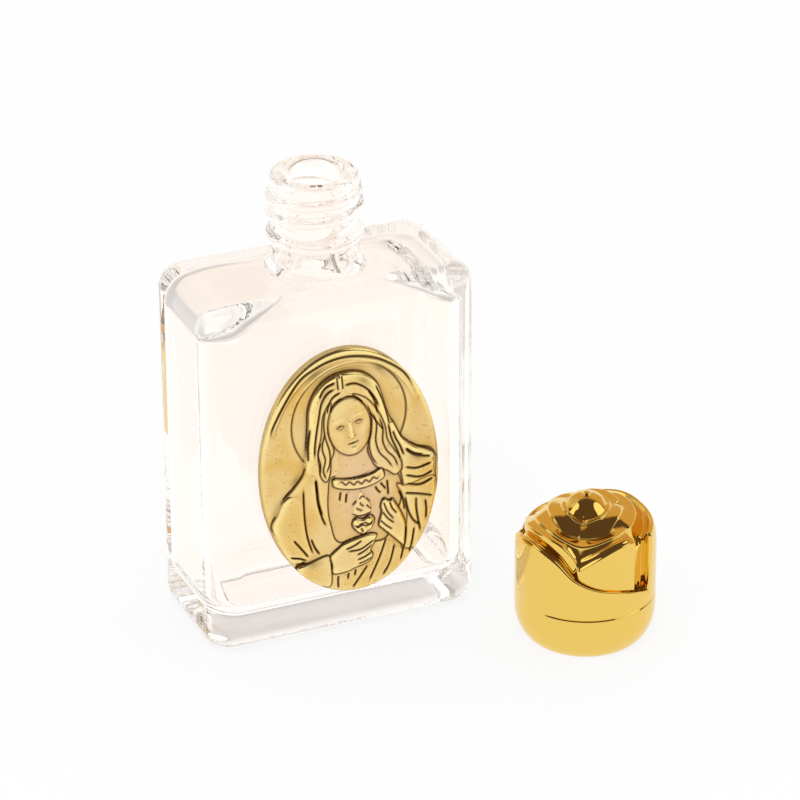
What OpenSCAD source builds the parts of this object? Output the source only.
// Glass holy water bottle with an oval relief on its front, and its rose-shaped
// screw cap, taken off and standing beside it. Millimetres, +Z up, front to -Y.
// The origin is the middle of the glass base.

/* [Glass body] */
// Width across the front
body_w = 52.6; // [46:0.2:80]
// Depth from front to back
body_d = 27.5; // [25:0.1:40]
// Height from the base to the shoulder
body_h = 68.2; // [62:0.2:100]
// Radius of the four upright corners
corner_r = 5.4; // [4.6:0.1:8]
// Radius round the shoulder's edge
shoulder_r = 4.4; // [2:0.1:4.5]
// Radius round the heel, where the sides meet the base
heel_r = 3.6; // [1.5:0.1:4.5]
// Thickness of the upright glass walls
wall_t = 3; // [2:0.1:4]
// Thickness of the glass base
base_t = 6.5; // [4:0.1:12]
// Thickness of the glass under the shoulder
shoulder_t = 3.6; // [2.5:0.1:6]
// Radius of the hollow's upright corners
hollow_corner_r = 4; // [3:0.1:6]
// Radius round the hollow's floor and ceiling
hollow_edge_r = 3.4; // [1.5:0.1:3.9]
// Depth of the dished panel under the base
punt_h = 0.6; // [0.2:0.1:1.5]
// Width of the ring that the base stands on
stand_ring_w = 2.1; // [1.5:0.1:4]

/* [Neck] */
// Height of the neck above the shoulder
neck_h = 17.6; // [15:0.1:24]
// Diameter of the neck's plain wall
neck_d = 15.9; // [14:0.1:18]
// Diameter of the straight bore
bore_d = 8.7; // [6:0.1:10]
// Radius of the funnel-shaped edge inside the rim
rim_inner_r = 1.9; // [1:0.1:2.4]
// Radius of the rim's outer edge
rim_outer_r = 0.8; // [0.4:0.1:1.2]
// Radius of the flare where the neck meets the shoulder
flare_r = 2; // [1:0.1:3]
// Diameter of the bead below the thread
bead_d = 17.4; // [16.6:0.1:20]
// Radius of the bead's round section
bead_r = 1.3; // [1:0.1:1.6]
// Drop from the rim to the middle of the bead
bead_drop = 11.3; // [10:0.1:14]
// Height of the throat's cone, where the bore opens into the hollow
throat_h = 6; // [4:0.1:7]
// Spread of the throat's cone at the hollow's ceiling
throat_spread = 2.2; // [1:0.1:3]

/* [Screw thread] */
// Height of the thread's crest above the neck's wall
thread_h = 0.9; // [0.6:0.05:1.2]
// Rise of the thread in one turn
thread_pitch = 3.175; // [2.5:0.025:4]
// Width of the thread where it leaves the wall
thread_w = 2.1; // [1.6:0.1:2.4]
// Turns of thread on the neck
thread_turns = 1.75; // [1:0.25:2]
// Drop from the rim to the thread's upper end
thread_drop = 2.4; // [2:0.1:3]
// Direction of the thread's upper end, seen from above
thread_start = 10; // [-180:5:180]
// Clearance between the two threads
thread_gap = 0.2; // [0.1:0.05:0.4]

/* [Medallion] */
// Width of the oval plate
medal_w = 34.2; // [28:0.2:36]
// Height of the oval plate
medal_h = 49; // [40:0.2:52]
// Thickness of the plate without its relief
plate_t = 1.2; // [0.8:0.1:2]
// Height of one step of the relief
relief_step = 0.22; // [0.15:0.01:0.3]
// Width of the raised border at the top of the plate
border_w = 1.5; // [1:0.1:2.5]
// Lean of the plate to the left, seen from the front
medal_lean = 6; // [-10:0.5:10]
// Drop of the plate's middle below the middle of the glass body
medal_drop = 0.4; // [-2:0.1:2]
// Thickness of the glue behind the plate
glue_t = 0.3; // [0.1:0.05:0.6]
// Distance of the glue's edge inside the plate's edge
glue_inset = 1.5; // [0.5:0.1:3]

/* [Cap] */
// Distance from the body's right side to the cap's axis
cap_aside = 13.1; // [12:0.1:40]
// Distance from the body's front to the cap's axis
cap_forward = 16.7; // [16:0.1:40]
// Direction that the rose's front petal faces, seen from above
cap_facing = -113.4; // [-180:0.1:180]
// Thickness of the shell's wall round the insert
shell_t = 2.8; // [2.4:0.1:4]
// Height of the mould's parting line round the cup
cup_h = 8.9; // [8:0.1:10]
// Height of the rounding at the cup's foot
foot_h = 6.2; // [3:0.1:7]
// Distance that the whole rounding draws in, most of it above the open edge
foot_in = 4.4; // [1:0.1:5]
// Width of the flat ring that the open edge stands on
edge_w = 0.15; // [0.1:0.05:0.5]
// Height of the rose above the insert's top
rose_h = 9.3; // [8:0.1:12]
// Gap left above the shoulder when the cap is screwed down
skirt_gap = 1; // [0.5:0.1:2]
// Thickness of the insert's wall behind its thread
liner_t = 0.95; // [0.7:0.05:1.5]
// Thickness of the insert's top
liner_top_t = 1.2; // [0.8:0.1:2]
// Distance of the insert's edge above the shell's edge
liner_inset = 0.4; // [0.2:0.1:1]
// Turns of thread in the insert
liner_turns = 2; // [1:0.25:2.5]
// Clearance between the insert and the shell
liner_fit = 0.03; // [0.02:0.01:0.1]
// Thickness of the sealing wad
wad_t = 1.2; // [0.8:0.1:2]
// Clearance round the sealing wad
wad_fit = 0.08; // [0.05:0.01:0.1]

/* [Hidden] */
$fn = 64;
overlap = 0.5;

// Neck and bore
neck_r = neck_d / 2;
bore_r = bore_d / 2;
rim_z = body_h + neck_h;
ceiling_z = body_h - shoulder_t;
thread_r = neck_r + thread_h;

// Cap, from the thread outwards and from its open edge upwards
liner_bore_r = thread_r + thread_gap;
liner_r = liner_bore_r + liner_t;
pocket_r = liner_r + liner_fit;
cap_r = pocket_r + shell_t;
wad_z = neck_h - skirt_gap;
wad_r = liner_bore_r - wad_fit;
wad_bead_r = (neck_r + thread_r) / 2 + thread_gap;
wad_bead_h = 0.6;
liner_top_z = wad_z + wad_t + wad_fit + liner_top_t;
cap_x = body_w / 2 + cap_aside;
cap_y = -body_d / 2 - cap_forward;
void_wall = 3;
void_h = rose_h / 3;

// The rose's petals as tiers of lips from the outside in. Each key holds the direction in
// degrees from the front, the lip's radius as a share of the cap's radius, its height as a
// share of the rose's height above the insert's top, and 1 where a petal ends.
OUTER_TIER = [
    [-95, 1, 0.05, 0], [-80, 1, 0.24, 0], [-61, 1, 0.32, 0], [-47, 1, 0.30, 0], [-36, 1, 0.215, 0],
    [-26, 1, 0.085, 0], [-12, 1, -0.215, 0], [4, 1, -0.41, 0], [31, 1, -0.58, 0], [60, 1, -0.79, 1],
    [65, 0.985, 0.38, 0], [80, 0.965, 0.42, 0], [100, 0.95, 0.40, 0], [118, 0.945, 0.42, 0],
    [137, 0.945, 0.47, 0], [152, 0.94, 0.46, 0], [185, 0.93, 0.32, 1],
    [190, 0.95, 0.22, 0], [215, 0.92, 0.24, 0], [235, 0.905, 0.22, 0], [254, 0.90, 0.165, 0],
    [262, 0.90, 0.10, 1]
];
SECOND_TIER = [
    [-95, 0.86, 0.36, 0], [-75, 0.865, 0.47, 0], [-47, 0.87, 0.49, 0], [-30, 0.875, 0.43, 0],
    [-20, 0.885, 0.31, 0], [-13, 0.895, 0.16, 1],
    [-8, 0.93, -0.05, 0], [8, 0.94, 0.19, 0], [24, 0.94, 0.36, 0], [36, 0.935, 0.41, 0],
    [45, 0.93, 0.39, 1],
    [50, 0.86, 0.10, 0], [60, 0.86, 0.14, 1],
    [65, 0.84, 0.26, 0], [100, 0.83, 0.36, 0], [150, 0.82, 0.44, 0], [200, 0.80, 0.32, 0],
    [240, 0.82, 0.22, 1]
];
THIRD_TIER = [
    [-110, 0.70, 0.42, 0], [-80, 0.735, 0.56, 0], [-60, 0.75, 0.585, 0], [-44, 0.76, 0.55, 0],
    [-28, 0.765, 0.46, 0], [-9, 0.765, 0.355, 0], [4, 0.76, 0.38, 0], [20, 0.75, 0.45, 0],
    [35, 0.735, 0.49, 0], [50, 0.71, 0.53, 1],
    [55, 0.735, 0.55, 0], [80, 0.70, 0.61, 0], [115, 0.67, 0.64, 0], [145, 0.64, 0.64, 0],
    [165, 0.62, 0.56, 1],
    [170, 0.68, 0.50, 0], [205, 0.68, 0.52, 0], [235, 0.66, 0.48, 0], [245, 0.64, 0.42, 1]
];
FOURTH_TIER = [
    [-150, 0.48, 0.58, 0], [-105, 0.53, 0.68, 0], [-64, 0.56, 0.68, 0], [-46, 0.57, 0.59, 0],
    [-34, 0.575, 0.475, 0], [-15, 0.565, 0.43, 1],
    [-10, 0.58, 0.43, 0], [10, 0.575, 0.43, 0], [30, 0.565, 0.465, 0], [42, 0.55, 0.59, 0],
    [55, 0.54, 0.70, 0], [80, 0.50, 0.71, 0], [105, 0.46, 0.66, 1],
    [110, 0.51, 0.68, 0], [145, 0.50, 0.74, 0], [185, 0.48, 0.70, 0], [205, 0.45, 0.61, 1]
];
BUD_TIER = [
    [-130, 0.33, 0.71, 0], [-85, 0.355, 0.77, 0], [-46, 0.385, 0.75, 0], [-30, 0.39, 0.66, 0],
    [-12, 0.385, 0.59, 1],
    [-7, 0.395, 0.59, 0], [14, 0.39, 0.665, 0], [40, 0.38, 0.71, 0], [65, 0.355, 0.76, 0],
    [90, 0.34, 0.75, 1],
    [95, 0.35, 0.74, 0], [140, 0.345, 0.76, 0], [190, 0.335, 0.76, 0], [225, 0.32, 0.70, 1]
];
TIERS = [OUTER_TIER, SECOND_TIER, THIRD_TIER, FOURTH_TIER, BUD_TIER];
petal_steps = 72;
petal_bend = 5;
lean_share = 0.3;
lean_start = 2;

// Rolled lip of the outer petal, and the trough behind it
lip_t = 1.3;
lip_share = 0.72;
lip_roll = 0.8;
lip_crest = 0.4;
trough_h = 0.5;
trough_w = 0.12;
pocket_roof_t = 1.2;
groove_floor = liner_top_z + pocket_roof_t;

// Edges of the inner petals, the backs between them and the roll behind the front panel
edge_t = 0.4;
edge_roll = 0.35;
edge_step = 0.5;
ledge_hollow = -0.5;
ledge_round = 0.45;
panel_start = -10;
panel_span = 57;
panel_roll_h = 0.45;

// Dome of the bud, as shares of the cap's radius and the rose's height, and the pip on top
dome_r = 0.36 * cap_r;
dome_drop = 0.28 * rose_h;
dome_lean = 0.08 * rose_h;
dome_inset = 0.6;
pip_r = 0.75;
pip_h = 0.4;

// Parting line of the mould, which fades out at the left
parting_w = 0.4;
parting_in = 0.15;
parting_start = -48;
parting_span = 250;
parting_fade = 25;

function ease(t) = t * t * (3 - 2 * t);
function turn(a, from) = a >= from + 360 ? a - 360 : a;
function past(a, from) = (a - from + 360) % 360;

// Key i of a tier, counted on past its ends into the turns before and after
function key(tier, i) =
    let (n = len(tier), w = floor(i / n))
    tier[i - w * n] + [360 * w, 0, 0, 0];

// Slope of a lip at key i, from one side only where a petal starts or ends
function slope(tier, i) =
    let (before = key(tier, i - 1), here = key(tier, i), after = key(tier, i + 1))
    let (p = before[3] == 1 ? here : before, q = here[3] == 1 ? here : after)
    (q - p) / (q[0] - p[0]);

// The lip's [radius, height above the open edge] at direction a: a smooth curve through each
// petal's keys, and an eased step from one petal to the next
function lip(tier, a) =
    let (n = len(tier), b = turn(a, tier[0][0]))
    let (k = max([for (i = [0:n - 1]) if (tier[i][0] <= b) i]))
    let (p = key(tier, k), q = key(tier, k + 1), span = q[0] - p[0], t = (b - p[0]) / span)
    let (pull = p[3] == 1 ? 0 : span * t * (1 - t))
    let (share = p + (q - p) * ease(t) + pull * (slope(tier, k) * (1 - t) - slope(tier, k + 1) * t))
    [share[1] * cap_r, liner_top_z + share[2] * rose_h];

// The thick rolled lip of the outer petal, and the trough up to the foot of the next petal
function outer_petal(here, inside) =
    let (t = min(lip_t, lip_share * (here[0] - inside[0])))
    let (low = max(min(here[1], inside[1]) - trough_h, inside[0] < pocket_r ? groove_floor : 0))
    [
        [here[0], here[1] - lip_roll],
        [here[0] - lip_crest * t, here[1]],
        [here[0] - t, here[1] - lip_crest * lip_roll],
        [inside[0] + trough_w, low],
        [inside[0] + trough_w / 4, min(low + trough_h, inside[1] - edge_step)]
    ];

// A petal's edge and its back, hollow, bulging or rolled, up to the foot of the next petal's edge
function inner_petal(here, inside, bulge, roll) =
    let (from = [here[0] - edge_t, here[1]], to = [inside[0] + trough_w / 4, inside[1] - edge_step])
    concat(
        [[here[0], here[1] - edge_roll], from],
        [for (s = [0.4, 0.7, 1])
            let (up = s + bulge * s * (1 - s), swell = s < 0.5 ? roll : 0)
            [from[0] + (to[0] - from[0]) * s, from[1] + (to[1] - from[1]) * up + swell]]
    );

// The bud's edge, its dome, which leans to the front, and the pip
function bud(here, a) =
    let (top = liner_top_z + rose_h, drop = dome_drop + dome_lean * cos(a))
    let (first = here[0] - dome_inset, last = pip_r + trough_w)
    concat(
        [[here[0], here[1] - edge_roll], [here[0] - edge_t, here[1]]],
        [for (s = [0, 0.3, 0.65, 1])
            let (r = first + (last - first) * s, z = top - pip_h - drop * pow(r / dome_r, 2))
            [r, s == 0 ? min(z, here[1] - trough_w) : z]],
        [[pip_r, top - pip_h / 2], [pip_r / 2, top]]
    );

// The round foot of the cup, cut off level at its open edge
function foot_points() =
    let (first = acos(max(0, (foot_in - shell_t + edge_w) / foot_in)))
    [for (i = [0:5]) let (f = first * (1 - i / 5))
        [cap_r - foot_in * (1 - cos(f)), foot_h * (1 - sin(f) / sin(first))]];

// The cup's side from below its parting line up to the outer petal
function cup_side(a, outer) =
    let (run = past(a, parting_start))
    let (cut = parting_in * max(0, min(1, run / parting_fade, (parting_span - run) / parting_fade)))
    [
        [cap_r, cup_h - parting_w / 2],
        [cap_r - cut, cup_h],
        [cap_r, cup_h + parting_w / 2],
        [cap_r, max(cup_h + parting_w, outer[1] - petal_bend)],
        [cap_r - lean_share * (cap_r - outer[0]), max(cup_h + 2 * parting_w, outer[1] - lean_start)]
    ];

// The cap's whole section at direction a, from its open edge to the pip
function cap_section(a) =
    let (lips = [for (tier = TIERS) lip(tier, a)])
    let (roll = past(a, panel_start) < panel_span ? panel_roll_h : 0)
    concat(
        foot_points(),
        cup_side(a, lips[0]),
        outer_petal(lips[0], lips[1]),
        inner_petal(lips[1], lips[2], ledge_hollow, roll),
        inner_petal(lips[2], lips[3], 0, 0),
        inner_petal(lips[3], lips[4], ledge_round, 0),
        bud(lips[4], a)
    );

// Rings of points joined into one closed skin, capped by a fan at each end
function skin_faces(rings, sides) = concat(
    [for (i = [0:rings - 2], j = [0:sides - 1])
        let (p = i * sides, q = p + sides, n = (j + 1) % sides)
        each [[p + j, q + j, q + n], [p + j, q + n, p + n]]],
    [for (j = [1:sides - 2]) [0, j, j + 1]],
    [for (j = [1:sides - 2]) let (e = (rings - 1) * sides) [e, e + j + 1, e + j]]
);

// The cap's outside as one closed skin: round foot, plain cup, petals and bud
module rose_cap() {
    sections = [for (i = [0:petal_steps - 1]) cap_section(i * 360 / petal_steps)];
    rings = len(sections[0]);
    outline = [for (k = [0:rings - 1], i = [0:petal_steps - 1])
        let (a = i * 360 / petal_steps, p = sections[i][k]) [p[0] * cos(a), p[0] * sin(a), p[1]]];
    tip = [0, 0, liner_top_z + rose_h];
    middle = [0, 0, 0];
    last = (rings - 1) * petal_steps;
    count = rings * petal_steps;
    faces = concat(
        [for (k = [0:rings - 2], i = [0:petal_steps - 1])
            let (p = k * petal_steps, q = p + petal_steps, n = (i + 1) % petal_steps)
            each [[p + i, q + i, q + n], [p + i, q + n, p + n]]],
        [for (i = [0:petal_steps - 1]) [last + i, count, last + (i + 1) % petal_steps]],
        [for (i = [0:petal_steps - 1]) [i, (i + 1) % petal_steps, count + 1]]
    );
    polyhedron(points = concat(outline, [tip, middle]), faces = faces);
}

// A helical ridge on a wall: its foot is sunk in the wall, its crest stands off it, and both ends fade out
module helix(wall, crest, width, turns, start, top) {
    step = 10;
    fade = 45;
    sink = (crest - wall) / 2;
    steps = round(turns * 360 / step);
    function height(i) = min(1, i * step / fade, (steps - i) * step / fade);
    foot = wall - sink;
    function ring(i) =
        let (a = start - i * step, z = top - i * step / 360 * thread_pitch)
        let (peak = wall - sink / 2 + (crest - wall + sink / 2) * height(i))
        let (side = foot + (peak - foot) * 0.75)
        [for (p = [[foot, 0.5], [side, 0.38], [peak, 0.2], [peak, -0.2], [side, -0.38], [foot, -0.5]])
            [p[0] * cos(a), p[0] * sin(a), z + p[1] * width]];
    sides = 6;
    faces = skin_faces(steps + 1, sides);
    outward = crest > wall;
    polyhedron(
        points = [for (i = [0:steps]) each ring(i)],
        faces = outward ? [for (f = faces) [f[2], f[1], f[0]]] : faces
    );
}

// Upright edge of a box: its outer side is at x = reach, rounded at the top and the foot
module edge_profile(reach, height, top_r, foot_r) {
    difference() {
        square([reach, height]);
        translate([reach - top_r, height - top_r])
            difference() {
                square(top_r + overlap);
                circle(top_r);
            }
        translate([reach - foot_r, foot_r])
            difference() {
                translate([0, -foot_r - overlap])
                    square(foot_r + overlap);
                circle(foot_r);
            }
    }
}

// Box with round upright corners and a rounded top and foot, standing on z = 0
module soft_box(w, d, height, side_r, top_r, foot_r) {
    flat_w = w - 2 * side_r;
    flat_d = d - 2 * side_r;
    reach_top = min(top_r, side_r - 0.05);
    reach_foot = min(foot_r, side_r - 0.05);
    translate([-flat_w / 2, -flat_d / 2, 0])
        cube([flat_w, flat_d, height]);
    for (s = [0, 180])
        rotate(s) {
            translate([flat_w / 2, flat_d / 2, 0])
                rotate([90, 0, 0])
                    linear_extrude(flat_d)
                        edge_profile(side_r, height, reach_top, reach_foot);
            translate([-flat_w / 2, flat_d / 2, 0])
                rotate([90, 0, 90])
                    linear_extrude(flat_w)
                        edge_profile(side_r, height, reach_top, reach_foot);
            translate([flat_w / 2, flat_d / 2, 0])
                rotate_extrude(angle = 90)
                    edge_profile(side_r, height, reach_top, reach_foot);
            translate([-flat_w / 2, flat_d / 2, 0])
                rotate(90)
                    rotate_extrude(angle = 90)
                        edge_profile(side_r, height, reach_top, reach_foot);
        }
}

// Neck's outer half section, from inside the shoulder to the rim
module neck_profile() {
    difference() {
        union() {
            translate([0, -shoulder_t / 2])
                square([neck_r, neck_h + shoulder_t / 2]);
            difference() {
                translate([0, -shoulder_t / 2])
                    square([neck_r + flare_r, flare_r + shoulder_t / 2]);
                translate([neck_r + flare_r, flare_r * 0.95])
                    circle(flare_r);
            }
            translate([bead_d / 2 - bead_r, neck_h - bead_drop])
                circle(bead_r);
        }
        translate([neck_r - rim_outer_r, neck_h - rim_outer_r])
            difference() {
                square(rim_outer_r + overlap);
                circle(rim_outer_r);
            }
    }
}

// Half section of what the bore takes out: throat, straight bore and funnel-shaped rim
module bore_profile() {
    translate([0, -shoulder_t - overlap])
        square([bore_r, neck_h + shoulder_t + 2 * overlap]);
    polygon([
        [0, -shoulder_t - overlap],
        [bore_r + throat_spread, -shoulder_t - overlap],
        [bore_r + throat_spread, -shoulder_t],
        [bore_r, throat_h - shoulder_t],
        [0, throat_h - shoulder_t]
    ]);
    translate([0, neck_h - rim_inner_r])
        difference() {
            square([bore_r + rim_inner_r, rim_inner_r + overlap]);
            translate([bore_r + rim_inner_r, 0])
                circle(rim_inner_r);
        }
}

module glass_bottle() {
    color("aliceblue", 0.5)
        difference() {
            union() {
                soft_box(body_w, body_d, body_h, corner_r, shoulder_r, heel_r);
                translate([0, 0, body_h])
                    rotate_extrude()
                        neck_profile();
                helix(neck_r, thread_r, thread_w, thread_turns, thread_start, rim_z - thread_drop);
            }
            translate([0, 0, base_t])
                soft_box(
                    body_w - 2 * wall_t, body_d - 2 * wall_t, ceiling_z - base_t,
                    hollow_corner_r, hollow_edge_r, hollow_edge_r
                );
            translate([0, 0, body_h])
                rotate_extrude()
                    bore_profile();
            translate([0, 0, -overlap])
                linear_extrude(punt_h + overlap)
                    punt_outline();
        }
}

// Outline of the dished panel under the base
module punt_outline() {
    inset = heel_r + stand_ring_w;
    round_r = corner_r / 2;
    for (w = [0, 1])
        square(
            [body_w - 2 * inset - 2 * round_r * w, body_d - 2 * inset - 2 * round_r * (1 - w)],
            center = true
        );
    for (x = [-1, 1], y = [-1, 1])
        translate([x * (body_w / 2 - inset - round_r), y * (body_d / 2 - inset - round_r)])
            circle(round_r);
}

// Places a flat drawing on the glass front, so that its height grows towards -Y
module on_front(lift) {
    translate([0, -body_d / 2 - lift, body_h / 2 - medal_drop])
        rotate([90, 0, 0])
            rotate(medal_lean)
                children();
}

function oval(w, h) = [for (i = [0:71]) [w / 2 * cos(i * 5), h / 2 * sin(i * 5)]];

// Smooth closed outline through points given as shares of the plate's half width and half height
function smooth_outline(p) =
    let (n = len(p), parts = 4)
    [for (i = [0:n - 1], j = [0:parts - 1])
        let (t = j / parts, a = p[(i + n - 1) % n], b = p[i], c = p[(i + 1) % n], d = p[(i + 2) % n])
        let (q = b + (c - a) * t / 2 + (2 * a - 5 * b + 4 * c - d) * t * t / 2
            + (3 * b - a - 3 * c + d) * t * t * t / 2)
        [q[0] * medal_w / 2, q[1] * medal_h / 2]];

// One flat form of the relief, a number of steps above the plate
module relief(steps, points) {
    linear_extrude(plate_t + steps * relief_step)
        intersection() {
            polygon(oval(medal_w, medal_h));
            polygon(smooth_outline(points));
        }
}

MANTLE = [
    [-0.62, -0.62], [-0.90, -0.32], [-0.72, -0.08], [-0.48, 0.08], [-0.42, 0.34], [-0.32, 0.62],
    [-0.14, 0.76],
    [0.06, 0.80], [0.30, 0.76], [0.46, 0.60], [0.54, 0.34], [0.64, 0.14], [0.92, 0.02], [1.02, -0.10],
    [0.98, -0.40], [0.80, -0.80], [0.30, -1.02], [-0.30, -1.02]
];
HOOD = [
    [-0.34, 0.22], [-0.34, 0.46], [-0.26, 0.64], [-0.10, 0.75], [0.06, 0.79], [0.26, 0.75], [0.40, 0.62],
    [0.47, 0.42], [0.50, 0.20], [0.36, 0.36], [0.28, 0.54], [0.08, 0.63], [-0.14, 0.60], [-0.21, 0.44]
];
HEAD = [
    [-0.17, 0.38], [-0.13, 0.52], [0.08, 0.60], [0.28, 0.52], [0.33, 0.38], [0.28, 0.22],
    [0.08, 0.12], [-0.12, 0.22]
];
GOWN = [
    [-0.18, 0.02], [0.34, 0.00], [0.44, -0.18], [0.46, -0.42], [0.22, -0.62], [-0.20, -0.58], [-0.27, -0.24]
];
COLLAR = [
    [-0.20, -0.02], [0.06, -0.09], [0.36, -0.02], [0.36, -0.12], [0.06, -0.17], [-0.20, -0.12]
];
VEIL_FALL = [
    [0.36, 0.30], [0.50, 0.26], [0.62, 0.10], [0.92, -0.02], [0.99, -0.12], [0.86, -0.24],
    [0.60, -0.26], [0.46, -0.06]
];
LOW_SLEEVE = [
    [-0.90, -0.34], [-0.52, -0.34], [-0.34, -0.60], [-0.36, -0.80], [-0.60, -0.82], [-0.86, -0.62]
];
LOW_HAND = [
    [-0.38, -0.60], [-0.04, -0.52], [0.22, -0.56], [0.20, -0.66], [0.14, -0.78], [-0.08, -0.80],
    [-0.36, -0.76]
];
HIGH_HAND = [
    [0.26, -0.44], [0.30, -0.34], [0.36, -0.30], [0.44, -0.32], [0.54, -0.50], [0.56, -0.66], [0.48, -0.75],
    [0.32, -0.62]
];
HIGH_SLEEVE = [
    [0.48, -0.30], [0.68, -0.34], [0.72, -0.60], [0.62, -0.86], [0.44, -0.80], [0.56, -0.62]
];
HEART = [[0.09, -0.55], [-0.02, -0.47], [0.01, -0.40], [0.08, -0.41], [0.15, -0.39], [0.20, -0.46]];

module medallion() {
    border_top = 0.42 * medal_h / 2;
    halo_r = 0.63 * medal_w / 2;
    color("goldenrod")
        on_front(glue_t) {
            linear_extrude(plate_t)
                polygon(oval(medal_w, medal_h));
            linear_extrude(plate_t + 2 * relief_step)
                intersection() {
                    difference() {
                        polygon(oval(medal_w, medal_h));
                        polygon(oval(medal_w - 2 * border_w, medal_h - 2 * border_w));
                    }
                    translate([-medal_w / 2, border_top])
                        square([medal_w, medal_h / 2]);
                }
            linear_extrude(plate_t + relief_step)
                translate([0.06 * medal_w / 2, 0.45 * medal_h / 2])
                    circle(halo_r);
            relief(2, MANTLE);
            relief(4, HOOD);
            relief(5, HEAD);
            relief(3, GOWN);
            relief(4, COLLAR);
            relief(3.5, VEIL_FALL);
            relief(3.5, LOW_SLEEVE);
            relief(5, LOW_HAND);
            relief(3.5, HIGH_SLEEVE);
            relief(5, HIGH_HAND);
            relief(6, HEART);
        }
}

module adhesive_pad() {
    color("ivory")
        on_front(0)
            linear_extrude(glue_t)
                polygon(oval(medal_w - 2 * glue_inset, medal_h - 2 * glue_inset));
}

module on_cap() {
    translate([cap_x, cap_y, 0])
        rotate(cap_facing)
            children();
}

module cap_shell() {
    color("gold")
        on_cap()
            difference() {
                rose_cap();
                translate([0, 0, -overlap])
                    cylinder(r = pocket_r, h = liner_top_z + overlap);
                translate([0, 0, liner_top_z - overlap])
                    cylinder(r1 = pocket_r - void_wall, r2 = pocket_r / 4, h = void_h + overlap);
            }
}

// Half section of the insert: wall, top and the bead that keeps the wad in
module liner_profile() {
    translate([0, wad_z + wad_t + wad_fit])
        square([liner_r, liner_top_t]);
    translate([liner_bore_r, liner_inset])
        square([liner_t, liner_top_z - liner_inset]);
    polygon([
        [wad_bead_r, wad_z - wad_fit],
        [wad_bead_r, wad_z - wad_fit - wad_bead_h / 2],
        [liner_bore_r, wad_z - wad_fit - wad_bead_h],
        [liner_r, wad_z - wad_fit - wad_bead_h],
        [liner_r, wad_z - wad_fit]
    ]);
}

module cap_liner() {
    color("whitesmoke")
        on_cap() {
            rotate_extrude()
                liner_profile();
            helix(
                liner_bore_r, liner_bore_r - thread_h, thread_w * 0.8, liner_turns,
                thread_start, wad_z - wad_bead_h - thread_w
            );
        }
}

module seal_disc() {
    color("white")
        on_cap()
            translate([0, 0, wad_z])
                cylinder(r = wad_r, h = wad_t);
}

glass_bottle();
medallion();
adhesive_pad();
cap_shell();
cap_liner();
seal_disc();
